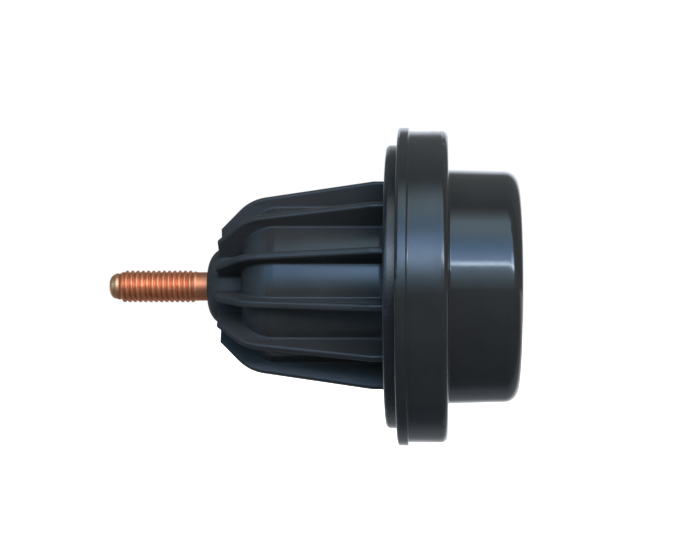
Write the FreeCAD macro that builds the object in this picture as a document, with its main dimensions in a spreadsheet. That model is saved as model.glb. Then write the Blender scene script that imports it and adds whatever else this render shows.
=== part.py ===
import FreeCAD
import Part
import math
import os
import Sketcher

# A 200 A bushing well for a distribution transformer, lying on its side.
# +X runs along its axis, from the oil side stud to the open well, and +Z is up.
# The origin is on the axis, in the plane of the gasket face that seals on the tank wall.
# Lengths are in millimetres and angles in degrees.
SIZES = [
    # The gasket and the collar that centres it
    ("gasket_thickness", 3.4),
    ("gasket_diameter", 83.1),
    ("gasket_bore_clearance", 0.15),
    ("gasket_edge_round", 1.2),
    ("collar_diameter", 63.0),
    # The clamping flange and the raised rim on its tank side
    ("flange_width", 14.45),
    ("flange_diameter", 91.3),
    ("flange_edge_round", 2.0),
    ("rim_width", 3.0),
    ("rim_diameter", 93.3),
    ("rim_edge_round", 0.85),
    # The open cup on the air side, whose outside is wider at the root by the draft
    ("cup_length", 20.5),
    ("cup_wall", 4.9),
    ("cup_draft", 1.3),
    ("cup_root_round", 0.6),
    ("cup_lip_round", 4.2),
    # The core and the hub of the oil side shank, which close the well
    ("core_diameter", 47.2),
    ("core_end_wall", 4.9),
    ("core_shoulder_round", 10.2),
    ("core_root_round", 1.6),
    ("hub_diameter", 24.0),
    ("hub_end_wall", 4.3),
    ("hub_nose_round", 6.6),
    ("hub_root_round", 0.8),
    # The ribs that stiffen the shank, placed from its shoulder and from the collar
    ("rib_count", 12),
    ("rib_first_angle", 11.1),
    ("rib_thickness", 2.2),
    ("rib_front_reach", 7.3),
    ("rib_front_diameter", 34.6),
    ("rib_corner_setback", 1.45),
    ("rib_corner_diameter", 52.0),
    ("rib_dome_round", 13.4),
    ("rib_land_length", 3.8),
    ("rib_land_step", 0.25),
    ("rib_edge_round", 0.8),
    ("rib_root_round", 0.6),
    ("rib_heel_depth", 3.0),
    # The well, which takes a bushing insert
    ("mouth_diameter", 57.6),
    ("mouth_depth", 9.5),
    ("mouth_edge_round", 0.5),
    ("mouth_corner_round", 1.5),
    ("taper_mouth_diameter", 46.0),
    ("taper_mouth_round", 1.2),
    ("taper_floor_diameter", 33.0),
    ("well_depth", 74.9),
    ("well_floor_round", 3.0),
    # The through conductor and the thread on its oil side end
    ("thread_diameter", 9.525),
    ("blank_diameter", 8.49),
    ("blank_length", 3.4),
    ("oil_stud_length", 26.45),
    ("pilot_diameter", 7.9),
    ("pilot_length", 3.4),
    ("pilot_nose_round", 3.2),
    ("thread_lead_length", 0.8),
    ("contact_diameter", 22.0),
    ("contact_thickness", 3.0),
    ("barrel_diameter", 15.9),
    ("barrel_length", 9.0),
    ("barrel_groove_diameter", 12.5),
    ("barrel_groove_width", 2.6),
    ("barrel_groove_offset", 3.2),
    # The well stud, which screws into the conductor
    ("stud_socket_depth", 9.6),
    ("stud_end_gap", 0.8),
    ("stud_height", 25.4),
    ("stud_chamfer", 1.0),
    ("stud_waist_diameter", 7.6),
    ("stud_waist_length", 3.2),
    ("stud_waist_offset", 1.2),
    ("hex_width", 4.76),
    ("hex_depth", 5.0),
]

# Places along the axis, worked out from the sizes
FLANGE_FACE = "size.gasket_thickness"
RIM_END = "(size.gasket_thickness + size.rim_width)"
CUP_ROOT = "(size.gasket_thickness + size.flange_width)"
CUP_LIP = "(size.gasket_thickness + size.flange_width + size.cup_length)"
MOUTH_FLOOR = f"({CUP_LIP} - size.mouth_depth)"
WELL_FLOOR = f"({CUP_LIP} - size.well_depth)"
SHOULDER = f"({WELL_FLOOR} - size.core_end_wall)"
RIB_FRONT = f"({SHOULDER} - size.rib_front_reach)"
RIB_CORNER = f"({SHOULDER} + size.rib_corner_setback)"
CONTACT_BACK = f"({WELL_FLOOR} - size.contact_thickness)"
BARREL_BACK = f"({CONTACT_BACK} - size.barrel_length)"
HUB_NOSE = f"({BARREL_BACK} - size.hub_end_wall)"
GROOVE_FRONT = f"({CONTACT_BACK} - size.barrel_groove_offset)"
GROOVE_BACK = f"({GROOVE_FRONT} - size.barrel_groove_width)"
THREAD_START = f"({HUB_NOSE} - size.blank_length)"
STUD_NOSE = f"({THREAD_START} - size.oil_stud_length)"
PILOT_END = f"({STUD_NOSE} + size.pilot_length)"
THREAD_LEAD = f"({PILOT_END} + size.thread_lead_length)"
SOCKET_FLOOR = f"({WELL_FLOOR} - size.stud_socket_depth)"
STUD_FOOT = f"({SOCKET_FLOOR} + size.stud_end_gap)"
STUD_TOP = f"({WELL_FLOOR} + size.stud_height)"
WAIST_START = f"({WELL_FLOOR} + size.stud_waist_offset)"
WAIST_END = f"({WAIST_START} + size.stud_waist_length)"

# Distances out from the axis, worked out from the sizes
AXIS = "0"
COLLAR_OUT = "(size.collar_diameter / 2)"
RIB_LAND_OUT = f"({COLLAR_OUT} - size.rib_land_step)"
RIB_HEEL_OUT = "(size.hub_diameter / 2 - size.rib_heel_depth)"
GASKET_BORE_OUT = f"({COLLAR_OUT} + size.gasket_bore_clearance)"
MOUTH_OUT = "(size.mouth_diameter / 2)"
CUP_LIP_OUT = f"({MOUTH_OUT} + size.cup_wall)"
CUP_ROOT_OUT = f"({CUP_LIP_OUT} + size.cup_draft / 2)"
STUD_TIP_OUT = "(size.thread_diameter / 2 - size.stud_chamfer)"

# How closely two places agree when faces and edges are sorted
SAME_PLACE = 1e-4
HEX_SIDES = 6


def radius(name):
    """The radius, as a formula, for a diameter on the sheet."""
    return f"size.{name} / 2"


doc = FreeCAD.newDocument("bushing_well")
sheet = doc.addObject("Spreadsheet::Sheet", "size")
for row, (name, number) in enumerate(SIZES, start=1):
    sheet.set(f"A{row}", name)
    sheet.set(f"B{row}", str(number))
    sheet.setAlias(f"B{row}", name)
doc.recompute()


def value(formula):
    """What a formula of the sheet's sizes comes to now."""
    return float(sheet.evalExpression(formula))


def origin_feature(body, role):
    """An origin plane or axis of the body, by its role."""
    for feature in body.Origin.OriginFeatures:
        if feature.Role == role:
            return feature
    raise ValueError(role)


def new_body(label):
    """An empty body for one piece."""
    body = doc.addObject("PartDesign::Body", label)
    body.Label = label
    return body


def bind_distance(sketch, kind, geometry, vertex, formula):
    """Hold a vertex at a distance from the sketch origin, given by a formula."""
    number = value(formula)
    index = sketch.addConstraint(Sketcher.Constraint(kind, -1, 1, geometry, vertex, number))
    sketch.setExpression(f"Constraints[{index}]", formula)


def place_vertex(sketch, geometry, vertex, corner, keep_across, keep_up):
    """Dimension a corner, apart from what its line to the last corner already holds."""
    if not keep_across:
        bind_distance(sketch, "DistanceX", geometry, vertex, corner[0])
    if not keep_up:
        if corner[1] == AXIS:
            sketch.addConstraint(Sketcher.Constraint("PointOnObject", geometry, vertex, -1))
        else:
            bind_distance(sketch, "DistanceY", geometry, vertex, corner[1])


def arc_at(before, corner, after, reach):
    """The arc that rounds a corner, and whether it runs with the outline."""
    back = (before - corner).normalize()
    ahead = (after - corner).normalize()
    half = back.getAngle(ahead) / 2
    centre = corner + (back + ahead).normalize() * (reach / math.sin(half))
    leave = corner + back * (reach / math.tan(half))
    join = corner + ahead * (reach / math.tan(half))
    turns_left = (corner - before).cross(after - corner).z > 0
    first = leave if turns_left else join
    last = join if turns_left else leave
    circle = Part.Circle(centre, FreeCAD.Vector(0, 0, 1), reach)
    start = math.atan2(first.y - centre.y, first.x - centre.x)
    end = math.atan2(last.y - centre.y, last.x - centre.x)
    return Part.ArcOfCircle(circle, start, end), leave, join, turns_left


def outline_sketch(body, name, corners):
    """A closed outline in the XZ plane, with a corner as (along, out) or (along, out, round)."""
    sketch = body.newObject("Sketcher::SketchObject", name)
    sketch.AttachmentSupport = [(origin_feature(body, "XZ_Plane"), "")]
    sketch.MapMode = "FlatFace"
    count = len(corners)
    points = [FreeCAD.Vector(value(c[0]), value(c[1]), 0) for c in corners]
    starts = list(points)
    ends = list(points)
    arcs = {}
    for i, corner in enumerate(corners):
        if len(corner) == 3:
            curve, leave, join, forward = arc_at(
                points[i - 1], points[i], points[(i + 1) % count], value(corner[2]))
            arcs[i] = (sketch.addGeometry(curve, False), forward)
            ends[i] = leave
            starts[i] = join
    lines = []
    for i in range(count):
        lines.append(sketch.addGeometry(Part.LineSegment(starts[i], ends[(i + 1) % count]), False))
    vertices = []
    for i, corner in enumerate(corners):
        if i not in arcs:
            sketch.addConstraint(Sketcher.Constraint("Coincident", lines[i - 1], 2, lines[i], 1))
            vertices.append((lines[i], 1))
            continue
        arc, forward = arcs[i]
        near_end = 1 if forward else 2
        far_end = 2 if forward else 1
        sketch.addConstraint(Sketcher.Constraint("Tangent", lines[i - 1], 2, arc, near_end))
        sketch.addConstraint(Sketcher.Constraint("Tangent", arc, far_end, lines[i], 1))
        index = sketch.addConstraint(Sketcher.Constraint("Radius", arc, value(corner[2])))
        sketch.setExpression(f"Constraints[{index}]", corner[2])
        mark = sketch.addGeometry(Part.Point(points[i]), True)
        sketch.addConstraint(Sketcher.Constraint("PointOnObject", mark, 1, lines[i - 1]))
        sketch.addConstraint(Sketcher.Constraint("PointOnObject", mark, 1, lines[i]))
        vertices.append((mark, 1))
    for i, corner in enumerate(corners):
        upright = i > 0 and corner[0] == corners[i - 1][0]
        level = i > 0 and corner[1] == corners[i - 1][1]
        if upright:
            sketch.addConstraint(Sketcher.Constraint("Vertical", lines[i - 1]))
        if level:
            sketch.addConstraint(Sketcher.Constraint("Horizontal", lines[i - 1]))
        place_vertex(sketch, vertices[i][0], vertices[i][1], corner, upright, level)
    return sketch


def turned(body, name, corners):
    """Material turned about the axis from an outline."""
    sketch = outline_sketch(body, name + "_outline", corners)
    feature = body.newObject("PartDesign::Revolution", name)
    feature.Profile = sketch
    feature.ReferenceAxis = (sketch, ["H_Axis"])
    feature.Angle = 360
    doc.recompute()
    return feature


def bored(body, name, corners):
    """A recess turned about the axis from an outline, checked to remove material."""
    before = body.Shape.Volume
    sketch = outline_sketch(body, name + "_outline", corners)
    feature = body.newObject("PartDesign::Groove", name)
    feature.Profile = sketch
    feature.ReferenceAxis = (sketch, ["H_Axis"])
    feature.Angle = 360
    doc.recompute()
    if body.Shape.Volume >= before:
        raise ValueError(name + " cuts nothing")
    return feature


def rounded(body, name, base, edges, formula):
    """A fillet on the listed edges of a feature."""
    feature = body.newObject("PartDesign::Fillet", name)
    feature.Base = (base, edges)
    feature.setExpression("Radius", formula)
    doc.recompute()
    return feature


def edges_where(shape, test):
    """The names of the edges that pass a test."""
    return [f"Edge{i}" for i, edge in enumerate(shape.Edges, start=1) if test(edge)]


def conductor_outline(outer_end):
    """The conductor's outline from the well to the blank, which its seat in the moulding shares."""
    return [
        (WELL_FLOOR, AXIS),
        (WELL_FLOOR, radius("contact_diameter")),
        (CONTACT_BACK, radius("contact_diameter")),
        (CONTACT_BACK, radius("barrel_diameter")),
        (GROOVE_FRONT, radius("barrel_diameter")),
        (GROOVE_FRONT, radius("barrel_groove_diameter")),
        (GROOVE_BACK, radius("barrel_groove_diameter")),
        (GROOVE_BACK, radius("barrel_diameter")),
        (BARREL_BACK, radius("barrel_diameter")),
        (BARREL_BACK, radius("blank_diameter")),
    ] + outer_end


def make_ribs(body):
    """One rib as a plate on edge, with a domed corner and softened edges, patterned round."""
    sketch = outline_sketch(body, "rib_outline", [
        (RIB_FRONT, RIB_HEEL_OUT),
        (RIB_FRONT, radius("rib_front_diameter")),
        (RIB_CORNER, radius("rib_corner_diameter"), "size.rib_dome_round"),
        ("-size.rib_land_length", RIB_LAND_OUT),
        (FLANGE_FACE, RIB_LAND_OUT),
        (FLANGE_FACE, RIB_HEEL_OUT),
    ])
    lean = FreeCAD.Rotation(FreeCAD.Vector(1, 0, 0), value("size.rib_first_angle"))
    sketch.AttachmentOffset = FreeCAD.Placement(FreeCAD.Vector(0, 0, 0), lean)
    sketch.setExpression("AttachmentOffset.Rotation.Angle", "size.rib_first_angle * 1 deg")
    rib = body.newObject("PartDesign::Pad", "rib")
    rib.Profile = sketch
    rib.SideType = "Symmetric"
    rib.setExpression("Length", "size.rib_thickness")
    doc.recompute()
    flank = value("size.rib_thickness / 2")
    inside = value(RIB_HEEL_OUT)

    def on_free_edge(edge):
        box = edge.BoundBox
        on_flank = box.YLength < SAME_PLACE and abs(abs(box.YMin) - flank) < SAME_PLACE
        at_heel = box.ZMax < inside + SAME_PLACE
        at_flange = box.XMin > value(FLANGE_FACE) - SAME_PLACE
        return on_flank and not at_heel and not at_flange

    upright = rib.Shape.copy()
    upright.rotate(FreeCAD.Vector(0, 0, 0), FreeCAD.Vector(1, 0, 0), -value("size.rib_first_angle"))
    edges = edges_where(upright, on_free_edge)
    rounded(body, "rib_edges", rib, edges, "size.rib_edge_round")
    ring = body.newObject("PartDesign::PolarPattern", "rib_ring")
    ring.TransformMode = "Whole shape"
    ring.Axis = (origin_feature(body, "X_Axis"), [""])
    ring.Angle = 360
    ring.setExpression("Occurrences", "size.rib_count")
    body.Tip = ring
    doc.recompute()
    return ring


def coaxial(face):
    """Whether a face is turned about the part's axis, or square to it."""
    surface = face.Surface
    if isinstance(surface, Part.Plane):
        return abs(abs(surface.Axis.x) - 1) < SAME_PLACE
    if isinstance(surface, (Part.Cylinder, Part.Cone, Part.Toroid)):
        off_axis = math.hypot(surface.Center.y, surface.Center.z)
        return abs(abs(surface.Axis.x) - 1) < SAME_PLACE and off_axis < SAME_PLACE
    return isinstance(surface, Part.SurfaceOfRevolution)


def rib_root_edges(shape):
    """The edges where the flanks of the ribs stand on the turned moulding."""
    reach = value("size.rib_thickness / 2")

    def is_flank(face):
        surface = face.Surface
        if not isinstance(surface, Part.Plane) or abs(surface.Axis.x) > SAME_PLACE:
            return False
        return abs(abs(surface.Position.dot(surface.Axis)) - reach) < SAME_PLACE

    def at_root(edge):
        faces = shape.ancestorsOfType(edge, Part.Face)
        flanks = [face for face in faces if is_flank(face)]
        turned_faces = [face for face in faces if coaxial(face)]
        return len(flanks) == 1 and len(turned_faces) == 1

    return edges_where(shape, at_root)


def mouth_edges(shape):
    """The edge round the mouth of the well, inside the lip of the cup."""
    lip = value(CUP_LIP)
    reach = value(MOUTH_OUT)

    def at_mouth(edge):
        curve = edge.Curve
        if not isinstance(curve, Part.Circle):
            return False
        return abs(curve.Center.x - lip) < SAME_PLACE and abs(curve.Radius - reach) < SAME_PLACE

    return edges_where(shape, at_mouth)


def make_bushing_body():
    """The moulding: ribbed shank, collar, flange and cup, with the well and the conductor seat."""
    body = new_body("bushing_body")
    body.AllowCompound = True
    make_ribs(body)
    moulding = turned(body, "moulding", [
        (HUB_NOSE, AXIS),
        (HUB_NOSE, radius("hub_diameter"), "size.hub_nose_round"),
        (SHOULDER, radius("hub_diameter"), "size.hub_root_round"),
        (SHOULDER, radius("core_diameter"), "size.core_shoulder_round"),
        ("0", radius("core_diameter"), "size.core_root_round"),
        ("0", COLLAR_OUT),
        (FLANGE_FACE, COLLAR_OUT),
        (FLANGE_FACE, radius("rim_diameter"), "size.rim_edge_round"),
        (RIM_END, radius("rim_diameter")),
        (RIM_END, radius("flange_diameter")),
        (CUP_ROOT, radius("flange_diameter"), "size.flange_edge_round"),
        (CUP_ROOT, CUP_ROOT_OUT, "size.cup_root_round"),
        (CUP_LIP, CUP_LIP_OUT, "size.cup_lip_round"),
        (CUP_LIP, AXIS),
    ])
    rounded(body, "rib_roots", moulding, rib_root_edges(moulding.Shape), "size.rib_root_round")
    well = bored(body, "well", [
        (CUP_LIP, AXIS),
        (CUP_LIP, MOUTH_OUT),
        (MOUTH_FLOOR, MOUTH_OUT, "size.mouth_corner_round"),
        (MOUTH_FLOOR, radius("taper_mouth_diameter"), "size.taper_mouth_round"),
        (WELL_FLOOR, radius("taper_floor_diameter"), "size.well_floor_round"),
        (WELL_FLOOR, AXIS),
    ])
    rounded(body, "mouth_edge", well, mouth_edges(well.Shape), "size.mouth_edge_round")
    bored(body, "conductor_seat", conductor_outline([
        (HUB_NOSE, radius("blank_diameter")),
        (HUB_NOSE, AXIS),
    ]))
    return body


def make_gasket():
    """The sealing ring between the flange and the tank wall."""
    body = new_body("tank_gasket")
    turned(body, "ring", [
        ("0", GASKET_BORE_OUT),
        ("0", radius("gasket_diameter"), "size.gasket_edge_round"),
        (FLANGE_FACE, radius("gasket_diameter")),
        (FLANGE_FACE, GASKET_BORE_OUT),
    ])
    return body


def make_conductor():
    """The copper conductor moulded into the nose, with a stud end and a tapped well end."""
    body = new_body("through_conductor")
    turned(body, "bar", conductor_outline([
        (THREAD_START, radius("blank_diameter")),
        (THREAD_START, radius("thread_diameter")),
        (THREAD_LEAD, radius("thread_diameter")),
        (PILOT_END, radius("pilot_diameter")),
        (STUD_NOSE, radius("pilot_diameter"), "size.pilot_nose_round"),
        (STUD_NOSE, AXIS),
    ]))
    bored(body, "stud_socket", [
        (WELL_FLOOR, AXIS),
        (WELL_FLOOR, radius("thread_diameter")),
        (SOCKET_FLOOR, radius("thread_diameter")),
        (SOCKET_FLOOR, AXIS),
    ])
    return body


def hexagon_sketch(body, name, place):
    """A hexagon square to the axis, held in a circle through its corners."""
    sketch = body.newObject("Sketcher::SketchObject", name)
    sketch.AttachmentSupport = [(origin_feature(body, "YZ_Plane"), "")]
    sketch.MapMode = "FlatFace"
    sketch.setExpression("AttachmentOffset.Base.z", place)
    reach = value("size.hex_width / 2 / cos(30)")
    corners = []
    for i in range(HEX_SIDES):
        turn = 2 * math.pi * i / HEX_SIDES
        corners.append(FreeCAD.Vector(reach * math.cos(turn), reach * math.sin(turn), 0))
    sides = []
    for i in range(HEX_SIDES):
        side = Part.LineSegment(corners[i], corners[(i + 1) % HEX_SIDES])
        sides.append(sketch.addGeometry(side, False))
    circle = Part.Circle(FreeCAD.Vector(0, 0, 0), FreeCAD.Vector(0, 0, 1), reach)
    ring = sketch.addGeometry(circle, True)
    sketch.addConstraint(Sketcher.Constraint("Coincident", ring, 3, -1, 1))
    for i in range(HEX_SIDES):
        after = sides[(i + 1) % HEX_SIDES]
        sketch.addConstraint(Sketcher.Constraint("Coincident", sides[i], 2, after, 1))
        sketch.addConstraint(Sketcher.Constraint("PointOnObject", sides[i], 1, ring))
    for side in sides[1:]:
        sketch.addConstraint(Sketcher.Constraint("Equal", sides[0], side))
    sketch.addConstraint(Sketcher.Constraint("PointOnObject", sides[0], 1, -1))
    index = sketch.addConstraint(Sketcher.Constraint("Radius", ring, reach))
    sketch.setExpression(f"Constraints[{index}]", "size.hex_width / 2 / cos(30)")
    return sketch


def make_well_stud():
    """The replaceable stud that stands in the well, with a hexagon socket in its free end."""
    body = new_body("well_stud")
    turned(body, "stud", [
        (STUD_FOOT, AXIS),
        (STUD_FOOT, radius("thread_diameter")),
        (WAIST_START, radius("thread_diameter")),
        (WAIST_START, radius("stud_waist_diameter")),
        (WAIST_END, radius("stud_waist_diameter")),
        (WAIST_END, radius("thread_diameter")),
        (f"({STUD_TOP} - size.stud_chamfer)", radius("thread_diameter")),
        (STUD_TOP, STUD_TIP_OUT),
        (STUD_TOP, AXIS),
    ])
    before = body.Shape.Volume
    pocket = body.newObject("PartDesign::Pocket", "hexagon_socket")
    pocket.Profile = hexagon_sketch(body, "hexagon", STUD_TOP)
    pocket.setExpression("Length", "size.hex_depth")
    doc.recompute()
    if body.Shape.Volume >= before:
        raise ValueError("the hexagon socket cuts nothing")
    return body


bodies = [make_bushing_body(), make_gasket(), make_conductor(), make_well_stud()]
doc.recompute()

for item in doc.Objects:
    if "Invalid" in item.State or "Error" in item.State:
        raise ValueError(f"{item.Name} failed: {item.State}")
for body in bodies:
    shape = body.Shape
    if shape.isNull() or not shape.isValid() or len(shape.Solids) != 1:
        raise ValueError(f"{body.Label} is not one valid solid")

os.makedirs("parts", exist_ok=True)
for body in bodies:
    body.Shape.exportStep(f"parts/{body.Label}.step")
    box = body.Shape.BoundBox
    print(body.Label, round(body.Shape.Volume), "mm3, X", round(box.XMin, 2), round(box.XMax, 2))
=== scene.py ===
import math

import bmesh
import bpy
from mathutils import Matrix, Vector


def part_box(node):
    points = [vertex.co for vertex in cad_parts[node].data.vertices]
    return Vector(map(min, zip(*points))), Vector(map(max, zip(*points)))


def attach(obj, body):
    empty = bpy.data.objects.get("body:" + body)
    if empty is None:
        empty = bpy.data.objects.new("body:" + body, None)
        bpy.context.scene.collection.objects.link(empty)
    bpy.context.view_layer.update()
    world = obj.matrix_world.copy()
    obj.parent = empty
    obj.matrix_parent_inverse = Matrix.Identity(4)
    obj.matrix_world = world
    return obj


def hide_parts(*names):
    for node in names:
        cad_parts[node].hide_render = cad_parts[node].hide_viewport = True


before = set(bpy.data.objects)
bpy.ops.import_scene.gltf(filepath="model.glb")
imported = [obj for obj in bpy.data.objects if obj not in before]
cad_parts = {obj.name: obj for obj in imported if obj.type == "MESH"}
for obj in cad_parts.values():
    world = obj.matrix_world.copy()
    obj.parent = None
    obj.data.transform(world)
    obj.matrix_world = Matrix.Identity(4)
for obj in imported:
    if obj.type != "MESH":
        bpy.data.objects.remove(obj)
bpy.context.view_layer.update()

# A bushing well with a ribbed black shank, a rubber gasket, a flange and cup, and a bare copper stud.
# The part's axis is +X, and +Z is up. Lengths are in metres.

MM = 0.001

STUD_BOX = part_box("well_stud")
CONDUCTOR_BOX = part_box("through_conductor")
BODY_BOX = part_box("bushing_body")

# Thread of both studs: the pitch and diameter of 3/8-16 UNC, with broad crests and shallow grooves
PITCH = 25.4 * MM / 16
THREAD_RADIUS = STUD_BOX[1].z
THREAD_DEPTH = 0.37 * PITCH
CREST_FLAT = 0.34 * PITCH
CREST_CROWN = 0.11 * MM
ROOT_WIDTH = PITCH / 8
ROOT_HOLLOW = 0.03 * MM

# Oil side stud, from its tip to the moulding
STUD_TIP = CONDUCTOR_BOX[0].x
PILOT_RADIUS = 3.95 * MM
PILOT_LENGTH = 3.4 * MM
PILOT_NOSE_ROUND = 2.6 * MM
PILOT_THREAD_SHARE = 0.25
PILOT_THREAD_START = 0.7 * MM
PILOT_THREAD_FADE = 1.0 * MM
LEAD_LENGTH = 0.8 * MM
RUN_OUT = 1.5 * MM
BLANK_RADIUS = 4.245 * MM
BLANK_LENGTH = 3.4 * MM
HUB_NOSE = BODY_BOX[0].x

# Conductor inside the moulding. The groove, head and socket are measured from the well's floor.
WELL_FLOOR = CONDUCTOR_BOX[1].x
BARREL_BACK = HUB_NOSE + 4.3 * MM
BARREL_RADIUS = 7.95 * MM
GROOVE_RADIUS = 6.25 * MM
GROOVE_DEEP_END = 8.8 * MM
GROOVE_SHALLOW_END = 6.2 * MM
HEAD_RADIUS = 11.0 * MM
HEAD_LENGTH = 3.0 * MM
HEAD_BEVEL = 0.2 * MM
SOCKET_DEPTH = 9.6 * MM
SOCKET_BEVEL = 0.4 * MM

# Well stud
WAIST_START = WELL_FLOOR + 1.2 * MM
WAIST_END = WAIST_START + 3.2 * MM
WAIST_RADIUS = 3.8 * MM
STUD_CHAMFER = 1.0 * MM
KEY_WIDTH = 4.76 * MM
KEY_DEPTH = 5.0 * MM
KEY_DRILL_DEPTH = 6.2 * MM

# Places on the moulding: along the axis, and the core's distance out
SHOULDER_START = -36.5 * MM
SHOULDER_END = -32.5 * MM
RIM_END = 6.4 * MM
FLANGE_END = 17.65 * MM
CUP_START = 18.05 * MM
CORE_RADIUS = 23.6 * MM

# Mesh fineness: faces round each piece, and what counts as sharp or as the same place
STUD_STEPS = 80
WELL_STUD_STEPS = 64
HEAD_STEPS = 96
SHARP_ANGLE = math.radians(40)
SAME_PLACE = 1e-7


# Node graphs

class Graph:
    """A short way to build a material's or the world's nodes."""

    def __init__(self, tree):
        self.tree = tree
        self.tree.nodes.clear()

    def add(self, kind, **settings):
        node = self.tree.nodes.new(kind)
        for name, setting in settings.items():
            setattr(node, name, setting)
        return node

    def link(self, source, target):
        self.tree.links.new(source, target)

    def feed(self, target, source):
        """Join a socket to a target, or set the target to a plain value."""
        if hasattr(source, "is_output"):
            self.link(source, target)
        else:
            target.default_value = source

    def math(self, operation, first, second=0.0):
        node = self.add("ShaderNodeMath", operation=operation)
        self.feed(node.inputs[0], first)
        self.feed(node.inputs[1], second)
        return node.outputs[0]

    def blend(self, factor, low, high):
        """Mix of two colours."""
        node = self.add("ShaderNodeMix", data_type="RGBA")
        self.feed(node.inputs["Factor"], factor)
        self.feed(node.inputs["A"], low)
        self.feed(node.inputs["B"], high)
        return node.outputs["Result"]

    def plus(self, first, second, share):
        """A colour with a share of another added to it."""
        node = self.add("ShaderNodeVectorMath", operation="MULTIPLY_ADD")
        self.link(second, node.inputs[0])
        self.link(share, node.inputs[1])
        self.link(first, node.inputs[2])
        return node.outputs[0]

    def span(self, source, low, high, to_low=0.0, to_high=1.0, smooth=False):
        """A range of a value mapped on to another range, clamped."""
        node = self.add("ShaderNodeMapRange")
        if smooth:
            node.interpolation_type = "SMOOTHSTEP"
        self.link(source, node.inputs["Value"])
        node.inputs["From Min"].default_value = low
        node.inputs["From Max"].default_value = high
        node.inputs["To Min"].default_value = to_low
        node.inputs["To Max"].default_value = to_high
        return node.outputs["Result"]

    def place(self, kind="Object"):
        """Coordinates, and their X, Y and Z. Object coordinates are the part's own frame."""
        coordinates = self.add("ShaderNodeTexCoord").outputs[kind]
        parts = self.add("ShaderNodeSeparateXYZ")
        self.link(coordinates, parts.inputs[0])
        return coordinates, parts.outputs

    def distance_out(self, across, up):
        """Distance from the part's axis."""
        squares = self.math("ADD", self.math("MULTIPLY", across, across), self.math("MULTIPLY", up, up))
        return self.math("SQRT", squares)

    def noise(self, coordinates, scale, detail, stretch=(1, 1, 1)):
        """Noise at a scale in cycles per metre, squeezed along an axis by its stretch."""
        mapping = self.add("ShaderNodeMapping")
        mapping.inputs["Scale"].default_value = stretch
        self.link(coordinates, mapping.inputs["Vector"])
        node = self.add("ShaderNodeTexNoise")
        self.link(mapping.outputs[0], node.inputs["Vector"])
        node.inputs["Scale"].default_value = scale
        node.inputs["Detail"].default_value = detail
        node.inputs["Roughness"].default_value = 0.5
        return node.outputs["Fac"]

    def bump(self, height, distance, strength, normal=None):
        node = self.add("ShaderNodeBump")
        node.inputs["Distance"].default_value = distance
        node.inputs["Strength"].default_value = strength
        self.link(height, node.inputs["Height"])
        if normal is not None:
            self.link(normal, node.inputs["Normal"])
        return node.outputs["Normal"]

    def background_share(self, seen, mirrored):
        """How much of the white background shows: directly or through glass, and in a reflection."""
        path = self.add("ShaderNodeLightPath")
        direct = self.math("MAXIMUM", path.outputs["Is Camera Ray"], path.outputs["Is Transmission Ray"])
        straight = self.math("MULTIPLY", direct, seen)
        reflected = self.math("MULTIPLY", path.outputs["Is Glossy Ray"], mirrored)
        return self.math("MAXIMUM", straight, reflected)

    def surface(self, shader):
        output = self.add("ShaderNodeOutputMaterial")
        self.link(shader, output.inputs["Surface"])


def new_material(name):
    material = bpy.data.materials.new(name)
    material.use_nodes = True
    return material, Graph(material.node_tree)


# Materials

# Base colours in pairs, which a slow noise blends
# The shank's pair is lighter than the flange and cup's, though it is the same resin: painted fill light
# that lifts the shade in the crevices between its ribs.
SHANK_TONES_WITH_PAINTED_FILL = ((0.0252, 0.0228, 0.0202, 1), (0.0297, 0.0272, 0.0245, 1))
FLANGE_AND_CUP_TONES = ((0.0203, 0.0183, 0.0158, 1), (0.0238, 0.0218, 0.0192, 1))
RUBBER_TONES = ((0.011, 0.0115, 0.013, 1), (0.02, 0.0205, 0.022, 1))
COPPER_TONES = ((0.72, 0.305, 0.15, 1), (0.66, 0.245, 0.115, 1))
# Darker, redder tone for the thread's grooves: painted shade.
COPPER_GROOVE_PAINTED_SHADE = (0.54, 0.165, 0.085, 1)
COPPER_TIP_TONE = (0.64, 0.34, 0.18, 1)
FLOOR_SEEN = (0.9, 0.78, 0.68, 1)
# Dark grey floor for reflections and bounced light: painted shade standing for the part's shadow on the
# floor.
FLOOR_MIRRORED_PAINTED_SHADE = (0.22, 0.22, 0.22, 1)
WHITE = (1, 1, 1, 1)

# The moulding's roughness, and what its glossier and duller places add to it
SHANK_ROUGHNESS = 0.2
FLANGE_ROUGHNESS = 0.17
CUP_ADDS = -0.06
SHOULDER_ADDS = 0.5
RIB_ROUND_ADDS = 0.4
RIB_SIDE_SHARE = 0.45


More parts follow.
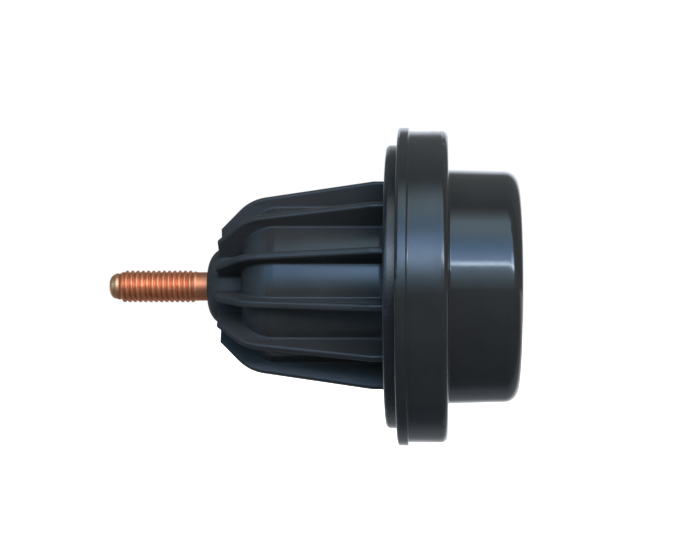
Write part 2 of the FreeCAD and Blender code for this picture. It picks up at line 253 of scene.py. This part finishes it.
def moulding_roughness(graph, spot, along, out):
    """Satin on the shank and flange and glossier on the cup, with dull ribs, root rounds and shoulder."""
    base = graph.span(along, 0.0, 1.0 * MM, SHANK_ROUGHNESS, FLANGE_ROUGHNESS)
    cup_gloss = graph.span(along, FLANGE_END, CUP_START, 0.0, CUP_ADDS)
    satin = graph.math("ADD", base, cup_gloss)

    off_core = graph.span(out, CORE_RADIUS + 0.01 * MM, CORE_RADIUS + 0.06 * MM)
    rib_side = graph.span(out, CORE_RADIUS + 0.5 * MM, CORE_RADIUS + 0.9 * MM, 1.0, RIB_SIDE_SHARE)
    on_shank = graph.span(along, -1.0 * MM, 0.0, 1.0, 0.0)
    ribs = graph.math("MULTIPLY", graph.math("MULTIPLY", off_core, rib_side), on_shank)
    on_shoulder = graph.span(along, SHOULDER_START, SHOULDER_END, SHOULDER_ADDS, 0.0, smooth=True)
    on_core = graph.span(out, CORE_RADIUS + 0.2 * MM, CORE_RADIUS + 0.6 * MM, 1.0, 0.0)
    shoulder = graph.math("MULTIPLY", on_shoulder, on_core)
    dulled = graph.math("MAXIMUM", shoulder, graph.span(ribs, 0.0, 1.0, 0.0, RIB_ROUND_ADDS))

    finish = graph.math("ADD", satin, dulled)
    wander = graph.span(graph.noise(spot, scale=160, detail=4), 0.3, 0.7, -0.02, 0.03)
    streaks = graph.noise(spot, scale=600, detail=2, stretch=(1, 0.06, 0.06))
    rubs = graph.span(streaks, 0.55, 0.75, 0.0, 0.05)
    return graph.math("ADD", graph.math("ADD", finish, wander), rubs)


def moulding_relief(graph, spot, along):
    """Faint mould flow and surface texture, and the small fillet at the foot of the flange's rim."""
    flow = graph.bump(graph.noise(spot, scale=55, detail=2), distance=0.06 * MM, strength=0.5)
    peel = graph.noise(spot, scale=900, detail=2)
    texture = graph.bump(peel, distance=0.004 * MM, strength=0.6, normal=flow)
    rim_foot = graph.span(along, RIM_END, RIM_END + 0.7 * MM, 1.0, 0.0)
    on_flange = graph.math("GREATER_THAN", along, RIM_END)
    fillet = graph.math("MULTIPLY", graph.math("MULTIPLY", rim_foot, rim_foot), on_flange)
    return graph.bump(fillet, distance=0.35 * MM, strength=1.0, normal=texture)


def moulding_material():
    """Black moulded resin, a lighter tone on the shank: painted fill light that lifts the shade between
    its ribs.
    """
    material, graph = new_material("black_moulding")
    spot, (along, across, up) = graph.place()
    shader = graph.add("ShaderNodeBsdfPrincipled")
    shader.inputs["Specular IOR Level"].default_value = 0.42
    shader.inputs["Specular Tint"].default_value = (0.6, 0.82, 1.0, 1)
    drift = graph.span(graph.noise(spot, scale=70, detail=4), 0.35, 0.65)
    # The shank's lighter tone is painted fill light for the shade between its ribs.
    shank = graph.blend(drift, *SHANK_TONES_WITH_PAINTED_FILL)
    flange_and_cup = graph.blend(drift, *FLANGE_AND_CUP_TONES)
    past_gasket = graph.span(along, 0.0, 1.0 * MM)
    graph.link(graph.blend(past_gasket, shank, flange_and_cup), shader.inputs["Base Color"])
    out = graph.distance_out(across, up)
    graph.link(moulding_roughness(graph, spot, along, out), shader.inputs["Roughness"])
    graph.link(moulding_relief(graph, spot, along), shader.inputs["Normal"])
    graph.surface(shader.outputs[0])
    return material


def rubber_material():
    """Black rubber with a fine grain and a little dust."""
    material, graph = new_material("gasket_rubber")
    spot, _ = graph.place()
    shader = graph.add("ShaderNodeBsdfPrincipled")
    shader.inputs["Specular IOR Level"].default_value = 0.5
    dust = graph.span(graph.noise(spot, scale=220, detail=5), 0.45, 0.75)
    graph.link(graph.blend(dust, *RUBBER_TONES), shader.inputs["Base Color"])
    wander = graph.noise(spot, scale=340, detail=3)
    graph.link(graph.span(wander, 0.3, 0.7, 0.25, 0.31), shader.inputs["Roughness"])
    grain = graph.noise(spot, scale=2600, detail=3)
    graph.link(graph.bump(grain, distance=0.01 * MM, strength=0.4), shader.inputs["Normal"])
    graph.surface(shader.outputs[0])
    return material


def copper_material():
    """Bare rolled copper, browner at the outer tip, with painted shade in the thread's grooves: a darker,
    redder tone there.
    """
    material, graph = new_material("rolled_copper")
    spot, (along, across, up) = graph.place()
    out = graph.distance_out(across, up)
    shader = graph.add("ShaderNodeBsdfPrincipled")
    shader.inputs["Metallic"].default_value = 1.0
    root = THREAD_RADIUS - THREAD_DEPTH
    above_root = graph.span(out, root - 0.05 * MM, root + 0.2 * MM, smooth=True)
    tarnish = graph.span(graph.noise(spot, scale=420, detail=4), 0.35, 0.7)
    crest = graph.blend(tarnish, *COPPER_TONES)
    # Below the crests the copper takes a darker, redder tone: painted shade in the grooves.
    thread = graph.blend(above_root, COPPER_GROOVE_PAINTED_SHADE, crest)
    past_tip = graph.span(along, STUD_TIP + 1.5 * MM, STUD_TIP + 4.2 * MM, smooth=True)
    tone = graph.blend(past_tip, COPPER_TIP_TONE, thread)
    graph.link(tone, shader.inputs["Base Color"])
    streaks = graph.noise(spot, scale=1600, detail=2, stretch=(1, 0.12, 0.12))
    graph.link(graph.span(streaks, 0.3, 0.7, 0.42, 0.54), shader.inputs["Roughness"])
    graph.link(graph.bump(streaks, distance=0.003 * MM, strength=0.4), shader.inputs["Normal"])
    graph.surface(shader.outputs[0])
    return material


def floor_material():
    """Pale floor that fades into the white background away from the part, and behind it in reflections.
    Reflections and bounced light see it dark grey: painted shade standing for the part's shadow on the
    floor beneath it.
    """
    material, graph = new_material("pale_floor")
    spot, (_, across, _) = graph.place()
    paint = graph.add("ShaderNodeBsdfDiffuse")
    direct = graph.add("ShaderNodeLightPath").outputs["Is Camera Ray"]
    # Rays other than the camera's see the dark grey: painted shade under the part.
    graph.link(graph.blend(direct, FLOOR_MIRRORED_PAINTED_SHADE, FLOOR_SEEN), paint.inputs["Color"])
    glow = graph.add("ShaderNodeEmission")
    glow.inputs["Color"].default_value = WHITE
    away = graph.add("ShaderNodeVectorMath", operation="LENGTH")
    graph.link(spot, away.inputs[0])
    around = graph.span(away.outputs["Value"], 0.25, 0.68, smooth=True)
    just_behind = graph.span(across, 0.04, 0.1, 0.0, 0.2, smooth=True)
    far_behind = graph.span(across, 0.1, 0.6, smooth=True)
    behind = graph.math("MAXIMUM", just_behind, far_behind)
    graph.link(graph.background_share(around, behind), glow.inputs["Strength"])
    both = graph.add("ShaderNodeAddShader")
    graph.link(paint.outputs[0], both.inputs[0])
    graph.link(glow.outputs[0], both.inputs[1])
    graph.surface(both.outputs[0])
    return material


# Mesh helpers

def finish_mesh(name, mesh, material):
    """A smooth-shaded object from a bmesh, with its steep edges kept sharp."""
    bmesh.ops.recalc_face_normals(mesh, faces=mesh.faces)
    data = bpy.data.meshes.new(name)
    mesh.to_mesh(data)
    mesh.free()
    data.materials.append(material)
    piece = bpy.data.objects.new(name, data)
    bpy.context.scene.collection.objects.link(piece)
    data.shade_smooth()
    data.set_sharp_from_angle(angle=SHARP_ANGLE)
    return piece


def ring_of(mesh, along, out, count):
    """A ring of vertices round the axis."""
    ring = []
    for i in range(count):
        turn = 2 * math.pi * i / count
        ring.append(mesh.verts.new((along, out * math.cos(turn), out * math.sin(turn))))
    return ring


def join_rings(mesh, first, second):
    count = len(first)
    for i in range(count):
        j = (i + 1) % count
        mesh.faces.new((first[i], first[j], second[j], second[i]))


def thread_radius(offset):
    """Distance out at an offset along the pitch from a crest's middle."""
    side = abs(offset)
    crest_edge = CREST_FLAT / 2
    root_edge = (PITCH - ROOT_WIDTH) / 2
    if side <= crest_edge:
        return THREAD_RADIUS - CREST_CROWN * (2 * side / CREST_FLAT) ** 2
    if side < root_edge:
        share = (side - crest_edge) / (root_edge - crest_edge)
        return THREAD_RADIUS - CREST_CROWN - (THREAD_DEPTH - CREST_CROWN) * share
    hollow = ROOT_HOLLOW * math.cos(math.pi * (PITCH / 2 - side) / ROOT_WIDTH)
    return THREAD_RADIUS - THREAD_DEPTH - hollow


def thread_offsets():
    """Where the thread's section has its vertices, as shares of the pitch from a crest's middle."""
    crest_edge = CREST_FLAT / 2 / PITCH
    root_edge = (PITCH - ROOT_WIDTH) / 2 / PITCH
    flank = 0.3
    crest = [-crest_edge, -0.12, -0.06, 0.0, 0.06, 0.12, crest_edge]
    root = [root_edge, 0.47, 0.5, 0.53, 1 - root_edge]
    return crest + [flank] + root + [1 - flank]


def add_thread(mesh, start, end, around, shape):
    """A right-handed helical surface from start to end, its radius passed through shape(along, out)."""
    offsets = thread_offsets()
    turns = math.ceil((end - start) / PITCH) + 2
    rows = []
    for i in range(turns * around + 1):
        turn = 2 * math.pi * i / around
        row = []
        for offset in offsets:
            along = start - PITCH + PITCH * (i / around + offset)
            nearest = offset if offset <= 0.5 else offset - 1
            out = shape(along, thread_radius(nearest * PITCH))
            row.append(mesh.verts.new((along, out * math.cos(turn), out * math.sin(turn))))
        rows.append(row)
    for i in range(turns * around):
        for j in range(len(offsets) - 1):
            mesh.faces.new((rows[i][j], rows[i][j + 1], rows[i + 1][j + 1], rows[i + 1][j]))
        if i + around + 1 <= turns * around:
            ahead = rows[i + around]
            ahead_next = rows[i + around + 1]
            mesh.faces.new((rows[i][-1], ahead[0], ahead_next[0], rows[i + 1][-1]))
    for place, outward in ((start, -1), (end, 1)):
        everything = mesh.verts[:] + mesh.edges[:] + mesh.faces[:]
        bmesh.ops.bisect_plane(mesh, geom=everything, plane_co=(place, 0, 0), plane_no=(outward, 0, 0),
                               clear_outer=True, dist=1e-9)


def open_edges_at(mesh, along):
    """The open edges of a mesh in the plane across the axis at a place."""
    found = []
    for edge in mesh.edges:
        if edge.is_boundary and all(abs(v.co.x - along) < SAME_PLACE for v in edge.verts):
            found.append(edge)
    return found


def close_end(mesh, along):
    bmesh.ops.triangle_fill(mesh, edges=open_edges_at(mesh, along), use_beauty=True)


# Copper pieces

def stud_shape(along, out):
    """Envelope of the oil side stud: domed pilot, lead-in, full thread, run-out and plain blank."""
    from_tip = along - STUD_TIP
    blank_start = HUB_NOSE - BLANK_LENGTH
    groove = THREAD_RADIUS - out
    pilot_thread = min(max((from_tip - PILOT_THREAD_START) / PILOT_THREAD_FADE, 0.0), 1.0)
    shallow = PILOT_THREAD_SHARE * pilot_thread
    if from_tip < PILOT_NOSE_ROUND:
        reach = max(PILOT_NOSE_ROUND - from_tip, 0.0)
        rise = math.sqrt(max(PILOT_NOSE_ROUND ** 2 - reach ** 2, 0.0))
        return PILOT_RADIUS - PILOT_NOSE_ROUND + rise - shallow * groove
    lead = (from_tip - PILOT_LENGTH) / LEAD_LENGTH
    if lead < 1:
        lead = max(lead, 0.0)
        envelope = PILOT_RADIUS + (THREAD_RADIUS - PILOT_RADIUS) * lead
        return envelope - (shallow + (1 - shallow) * lead) * groove
    if along > blank_start:
        return BLANK_RADIUS
    fade = min(max((along - blank_start + RUN_OUT) / RUN_OUT, 0.0), 1.0)
    return out * (1 - fade) + BLANK_RADIUS * fade


def make_conductor(material):
    """The copper conductor: threaded stud, blank, barrel in the moulding and contact head."""
    mesh = bmesh.new()
    add_thread(mesh, STUD_TIP, BARREL_BACK, STUD_STEPS, stud_shape)
    close_end(mesh, STUD_TIP)
    close_end(mesh, BARREL_BACK)
    outline = [
        (WELL_FLOOR - SOCKET_DEPTH, THREAD_RADIUS),
        (WELL_FLOOR - SOCKET_BEVEL, THREAD_RADIUS),
        (WELL_FLOOR, THREAD_RADIUS + SOCKET_BEVEL),
        (WELL_FLOOR, HEAD_RADIUS - HEAD_BEVEL),
        (WELL_FLOOR - HEAD_BEVEL, HEAD_RADIUS),
        (WELL_FLOOR - HEAD_LENGTH, HEAD_RADIUS),
        (WELL_FLOOR - HEAD_LENGTH, BARREL_RADIUS),
        (WELL_FLOOR - GROOVE_SHALLOW_END, BARREL_RADIUS),
        (WELL_FLOOR - GROOVE_SHALLOW_END, GROOVE_RADIUS),
        (WELL_FLOOR - GROOVE_DEEP_END, GROOVE_RADIUS),
        (WELL_FLOOR - GROOVE_DEEP_END, BARREL_RADIUS),
        (BARREL_BACK, BARREL_RADIUS),
    ]
    rings = [ring_of(mesh, along, out, HEAD_STEPS) for along, out in outline]
    for first, second in zip(rings, rings[1:]):
        join_rings(mesh, first, second)
    mesh.faces.new(rings[0])
    mesh.faces.new(rings[-1])
    return finish_mesh("copper_conductor", mesh, material)


def well_stud_shape(along, out):
    """Envelope of the well stud: a waist just above the well floor and a chamfered end."""
    beyond_waist = max(WAIST_START - along, along - WAIST_END, 0.0)
    before_end = max(STUD_BOX[1].x - along, 0.0)
    chamfer = THREAD_RADIUS - STUD_CHAMFER + before_end
    return min(out, WAIST_RADIUS + beyond_waist, chamfer)


def make_well_stud(material):
    """The threaded stud in the well, with a hexagon socket in its end."""
    mesh = bmesh.new()
    start = STUD_BOX[0].x
    end = STUD_BOX[1].x
    add_thread(mesh, start, end, WELL_STUD_STEPS, well_stud_shape)
    close_end(mesh, start)
    corner = KEY_WIDTH / 2 / math.cos(math.pi / 6)
    mouth = ring_of(mesh, end, corner, 6)
    lines = [mesh.edges.new((mouth[i], mouth[(i + 1) % 6])) for i in range(6)]
    bmesh.ops.triangle_fill(mesh, edges=open_edges_at(mesh, end) + lines, use_beauty=True)
    floor = ring_of(mesh, end - KEY_DEPTH, corner, 6)
    join_rings(mesh, mouth, floor)
    drill_point = mesh.verts.new((end - KEY_DRILL_DEPTH, 0, 0))
    for i in range(6):
        mesh.faces.new((floor[i], floor[(i + 1) % 6], drill_point))
    return finish_mesh("copper_well_stud", mesh, material)


# Stage

FLOOR_HALF_WIDTH = 8.0
FLOOR_LEVEL = -0.20


def make_floor():
    mesh = bmesh.new()
    bmesh.ops.create_grid(mesh, x_segments=1, y_segments=1, size=FLOOR_HALF_WIDTH)
    data = bpy.data.meshes.new("floor")
    mesh.to_mesh(data)
    mesh.free()
    data.materials.append(floor_material())
    floor = bpy.data.objects.new("floor", data)
    floor.location = (0, 0, FLOOR_LEVEL)
    bpy.context.scene.collection.objects.link(floor)


# The studio's brightness round the part's axis: degrees up from the front, then the light's colour.
# WINDOW is the window's bright half, SKY its dim half and ROOM the rest. The others are added to them.
WINDOW = (
    (-2, 0.36, 0.40, 0.43), (4, 0.43, 0.52, 0.53), (10, 0.85, 0.98, 1.05), (17, 1.5, 1.7, 1.95),
    (24, 2.3, 2.6, 3.6), (28, 2.6, 2.9, 4.1), (34, 1.6, 2.2, 2.95), (40, 1.15, 1.75, 2.4),
    (46, 1.1, 1.5, 2.0), (53, 1.3, 1.6, 1.75), (59, 1.55, 1.7, 1.75), (66, 1.35, 1.5, 1.5),
    (72, 0.7, 0.8, 0.8), (78, 0.25, 0.3, 0.32), (84, 0.04, 0.06, 0.07), (90, 0.04, 0.06, 0.07),
    (97, 0.12, 0.14, 0.15), (110, 0.17, 0.19, 0.19), (137, 0.12, 0.13, 0.13), (180, 0.1, 0.1, 0.1),
)
SKY = (
    (-10, 0.33, 0.35, 0.38), (-1, 0.4, 0.44, 0.54), (6.5, 0.33, 0.57, 0.78), (15, 0.4, 0.85, 1.25),
    (23, 0.42, 1.0, 1.65), (32, 0.75, 1.15, 1.5), (36, 0.7, 1.0, 1.3), (39, 0.2, 0.26, 0.3),
    (60, 0.06, 0.08, 0.1), (84, 0.04, 0.06, 0.07), (97, 0.12, 0.14, 0.15), (110, 0.17, 0.19, 0.19),
    (137, 0.12, 0.13, 0.13), (180, 0.1, 0.1, 0.1),
)
ROOM = (
    (-180, 0.12, 0.12, 0.12), (-90, 0.3, 0.3, 0.3), (-2, 0.25, 0.25, 0.25), (30, 0.15, 0.15, 0.15),
    (85, 0.06, 0.07, 0.08), (97, 0.12, 0.14, 0.15), (110, 0.17, 0.19, 0.19), (137, 0.14, 0.15, 0.15),
    (180, 0.12, 0.12, 0.12),
)
PANE = (
    (2, 0.0, 0.0, 0.0), (8, 0.6, 0.65, 0.7), (12, 1.5, 1.7, 1.9), (16, 2.6, 2.8, 3.6),
    (20, 2.3, 2.5, 2.9), (24, 1.3, 1.6, 1.8), (30, 0.8, 0.9, 1.3), (34, 0.9, 0.75, 0.95),
    (40, 0.35, 0.2, 0.2), (48, 0.0, 0.0, 0.0),
)
SLOT = (
    (20.0, 0.0, 0.0, 0.0), (20.3, 11.6, 10.2, 9.3), (23.7, 11.6, 10.2, 9.3), (24.0, 0.0, 0.0, 0.0),
)
FLARE = (
    (17, 0.0, 0.0, 0.0), (21, 4.6, 4.6, 4.6), (27, 4.6, 4.6, 4.6), (33, 2.0, 2.0, 2.2),
    (39, 0.0, 0.0, 0.0),
)
BACK_WINDOW = (1.2, 1.3, 1.45)
BRIGHTEST = 20
STUDIO_LEVEL = 1.8

# Where the studio's parts fade in or out, by how far a direction points along the axis, back or up,
# from -1 to 1.
LEFT_END = (-0.985, -0.955)
BRIGHT_HALF_START = (-0.075, -0.03)
PANE_END = (0.015, 0.04)
SLOT_START = (0.03, 0.045)
BACK_WINDOW_START = (0.8, 0.93)
BACKDROP_START = (0.4, 0.95)
BACKDROP_TOP = (0.2, 0.3)
BACKDROP_MIRRORED = 0.25

# The same by degrees to the right of the front, and by degrees up where the window's top begins.
RIGHT_END = (43, 51)
TOP_BRIGHT_HALF_START = (-9, -7)
FLARE_START = (24, 31)
TOP_START = (46, 50)


def turn_share(degrees):
    """An angle up from the front as a share of the whole turn round the axis, from -180 degrees."""
    return degrees / 360 + 0.5


def profile(graph, turn, stops):
    """A colour for each angle round the part's axis, from a list of angles and colours."""
    ramp = graph.add("ShaderNodeValToRGB")
    graph.link(turn, ramp.inputs["Fac"])
    elements = ramp.color_ramp.elements
    while len(elements) < len(stops):
        elements.new(0.5)
    for element, stop in zip(elements, stops):
        element.position = turn_share(stop[0])
    for element, stop in zip(elements, stops):
        element.color = [STUDIO_LEVEL * part / BRIGHTEST for part in stop[1:]] + [1]
    return ramp.outputs["Color"]


def fade(graph, source, ends, to_low=0.0, to_high=1.0):
    """A smooth change over a range of a direction's reach."""
    return graph.span(source, ends[0], ends[1], to_low, to_high, smooth=True)


def fade_by_angle(graph, angle, ends, to_low=0.0, to_high=1.0):
    """A smooth change over a range of a direction's angle to the side, in degrees."""
    low, high = (math.radians(degrees) for degrees in ends)
    return graph.span(angle, low, high, to_low, to_high, smooth=True)


def make_world():
    """A tall soft window with a bright slot low in its right half, in a dim room before a white ground."""
    world = bpy.data.worlds.new("studio")
    world.use_nodes = True
    bpy.context.scene.world = world
    graph = Graph(world.node_tree)
    _, (along, across, up) = graph.place("Generated")
    front = graph.math("MULTIPLY", across, -1.0)
    turn = graph.span(graph.math("ARCTAN2", up, front), -math.pi, math.pi)
    side = graph.math("ARCTAN2", along, front)

    right_end = fade_by_angle(graph, side, RIGHT_END, 1.0, 0.0)
    low_half = fade(graph, along, BRIGHT_HALF_START)
    high_half = fade_by_angle(graph, side, TOP_BRIGHT_HALF_START)
    high = fade(graph, turn, [turn_share(degrees) for degrees in TOP_START])
    low = graph.math("SUBTRACT", 1.0, high)
    near_half = graph.math("ADD", graph.math("MULTIPLY", high, high_half),
                           graph.math("MULTIPLY", low, low_half))
    window = graph.blend(near_half, profile(graph, turn, SKY), profile(graph, turn, WINDOW))
    in_window = graph.math("MULTIPLY", fade(graph, along, LEFT_END), right_end)
    lit = graph.blend(in_window, profile(graph, turn, ROOM), window)

    pane = graph.math("MULTIPLY", low_half, fade(graph, along, PANE_END, 1.0, 0.0))
    slot = graph.math("MULTIPLY", right_end, fade(graph, along, SLOT_START))
    flare = graph.math("MULTIPLY", right_end, fade_by_angle(graph, side, FLARE_START))
    for stops, share in ((PANE, pane), (SLOT, slot), (FLARE, flare)):
        lit = graph.plus(lit, profile(graph, turn, stops), share)
    back_light = [part / BRIGHTEST for part in BACK_WINDOW] + [1 / BRIGHTEST]
    lit = graph.blend(fade(graph, across, BACK_WINDOW_START), lit, back_light)
    studio = graph.add("ShaderNodeVectorMath", operation="SCALE")
    graph.link(lit, studio.inputs[0])
    studio.inputs["Scale"].default_value = BRIGHTEST

    behind = fade(graph, across, BACKDROP_START, 0.0, BACKDROP_MIRRORED)
    backdrop = graph.math("MULTIPLY", behind, fade(graph, up, BACKDROP_TOP, 1.0, 0.0))
    white = graph.background_share(1.0, backdrop)
    back = graph.add("ShaderNodeBackground")
    graph.link(graph.blend(white, studio.outputs[0], WHITE), back.inputs["Color"])
    output = graph.add("ShaderNodeOutputWorld")
    graph.link(back.outputs[0], output.inputs["Surface"])


# Camera

CAMERA_ALONG = 15.5 * MM
CAMERA_DISTANCE = 443 * MM
IMAGE_WIDTH_PIXELS = 679
FOCAL_PIXELS = 1500
SENSOR_WIDTH_MM = 36.0
TURN_LEFT = math.radians(3.824)
TILT_UP = math.radians(0.538)
ROLL = math.radians(-0.071)


def make_camera():
    """The photograph's view: level with the axis, square to it, from a little past the flange."""
    data = bpy.data.cameras.new("camera")
    data.sensor_width = SENSOR_WIDTH_MM
    data.lens = FOCAL_PIXELS * SENSOR_WIDTH_MM / IMAGE_WIDTH_PIXELS
    data.clip_start = 10 * MM
    camera = bpy.data.objects.new("camera", data)
    camera.location = (CAMERA_ALONG, -CAMERA_DISTANCE, 0.0)
    camera.rotation_euler = (math.pi / 2 + TILT_UP, ROLL, TURN_LEFT)
    bpy.context.scene.collection.objects.link(camera)
    bpy.context.scene.camera = camera


# Assembly

def dress(node, material):
    """Give a CAD node its material."""
    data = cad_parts[node].data
    data.materials.clear()
    data.materials.append(material)


copper = copper_material()
dress("bushing_body", moulding_material())
dress("tank_gasket", rubber_material())

conductor = make_conductor(copper)
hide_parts("through_conductor")
well_stud = make_well_stud(copper)
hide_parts("well_stud")
for piece in (conductor, well_stud):
    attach(piece, "root")

make_floor()
make_world()
make_camera()
bpy.context.scene.view_settings.view_transform = "Standard"
